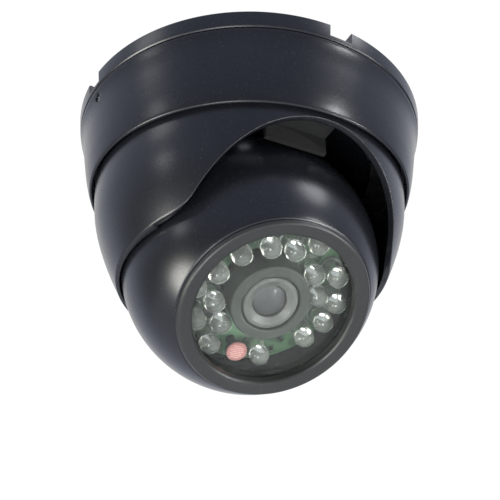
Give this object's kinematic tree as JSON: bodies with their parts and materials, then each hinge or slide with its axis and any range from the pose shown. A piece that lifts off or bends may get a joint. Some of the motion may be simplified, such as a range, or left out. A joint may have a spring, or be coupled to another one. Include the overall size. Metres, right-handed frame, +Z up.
{
  "type": "dome security camera",
  "caption": "Ceiling dome camera: round base and cover ring, scooped swivel shell, tilting eyeball with a grey bezel, flat glass, ring of infra-red lamps and a central lens.",
  "frame": {"origin": "centre of the flat mounting face that goes against the ceiling", "axes": "+Z up, out of the mounting face into the ceiling; the body hangs towards -Z; the eyeball looks out towards -Y and down at rest; +X is to the left of the camera's own view"},
  "size_m": [0.093, 0.0929, 0.0708],
  "materials": {
    "black_paint": "satin black powder coat with a fine grain",
    "bezel_paint": "dark grey satin paint",
    "seal_rubber": "matte black rubber",
    "zinc_steel": "dark zinc plate",
    "plain_steel": "plain turned steel",
    "black_nylon": "matte moulded nylon",
    "front_glass": "clear flat glass",
    "green_board": "green solder mask over fibre board",
    "clear_epoxy": "water-clear moulded epoxy",
    "photocell_face": "pinkish sintered face under clear lacquer",
    "shroud_plastic": "dark matte plastic",
    "barrel_grey": "grey satin anodised barrel",
    "lens_glass": "dark coated lens surface",
    "sensor_chip": "dark chip package"
  },
  "bodies": {
    "base": {"base_plate": "black_paint", "cable_grommet": "seal_rubber", "cover_ring": "black_paint", "cover_seal": "seal_rubber", "cover_set_screw_1": "zinc_steel", "cover_set_screw_2": "zinc_steel", "retainer_ring": "plain_steel", "friction_ring": "black_nylon", "retainer_screw_1": "zinc_steel", "retainer_screw_2": "zinc_steel", "retainer_screw_3": "zinc_steel"},
    "swivel": {"dome_shell": "black_paint", "stop_bracket": "black_nylon"},
    "eyeball": {"eyeball_front": "black_paint", "eyeball_rear": "black_paint", "bezel_ring": "bezel_paint", "front_glass": "front_glass", "glass_gasket": "seal_rubber", "ir_board": "green_board", "ir_led_01": "clear_epoxy", "ir_led_02": "clear_epoxy", "ir_led_03": "clear_epoxy", "ir_led_04": "clear_epoxy", "ir_led_05": "clear_epoxy", "ir_led_06": "clear_epoxy", "ir_led_07": "clear_epoxy", "ir_led_08": "clear_epoxy", "ir_led_09": "clear_epoxy", "ir_led_10": "clear_epoxy", "ir_led_11": "clear_epoxy", "ir_led_12": "clear_epoxy", "ir_led_13": "clear_epoxy", "ir_led_14": "clear_epoxy", "ir_led_15": "clear_epoxy", "ir_led_16": "clear_epoxy", "ir_led_17": "clear_epoxy", "photocell": "photocell_face", "lens_shroud": "shroud_plastic", "lens_holder": "shroud_plastic", "lens_lock_ring": "black_nylon", "sensor_board": "green_board", "image_sensor": "sensor_chip", "standoff_1": "plain_steel", "standoff_2": "plain_steel", "standoff_3": "plain_steel", "standoff_4": "plain_steel", "pivot_pin_left": "plain_steel", "pivot_pin_right": "plain_steel"},
    "lens": {"lens_barrel": "barrel_grey", "lens_element": "lens_glass"}
  },
  "joints": [
    {"name": "pan", "type": "hinge", "parent": "base", "child": "swivel", "pos_m": [0, 0, -0.018], "axis": [0, 0, 1], "range_deg": [-175, 175]},
    {"name": "tilt", "type": "hinge", "parent": "swivel", "child": "eyeball", "pos_m": [0, 0, -0.0387], "axis": [-1, 0, 0], "range_deg": [-35.3, 43.6]},
    {"name": "focus_turn", "type": "hinge", "parent": "eyeball", "child": "lens", "pos_m": [0, 0, -0.0387], "axis": [0, -0.5906, -0.807], "range_deg": [-180, 180]}
  ]
}
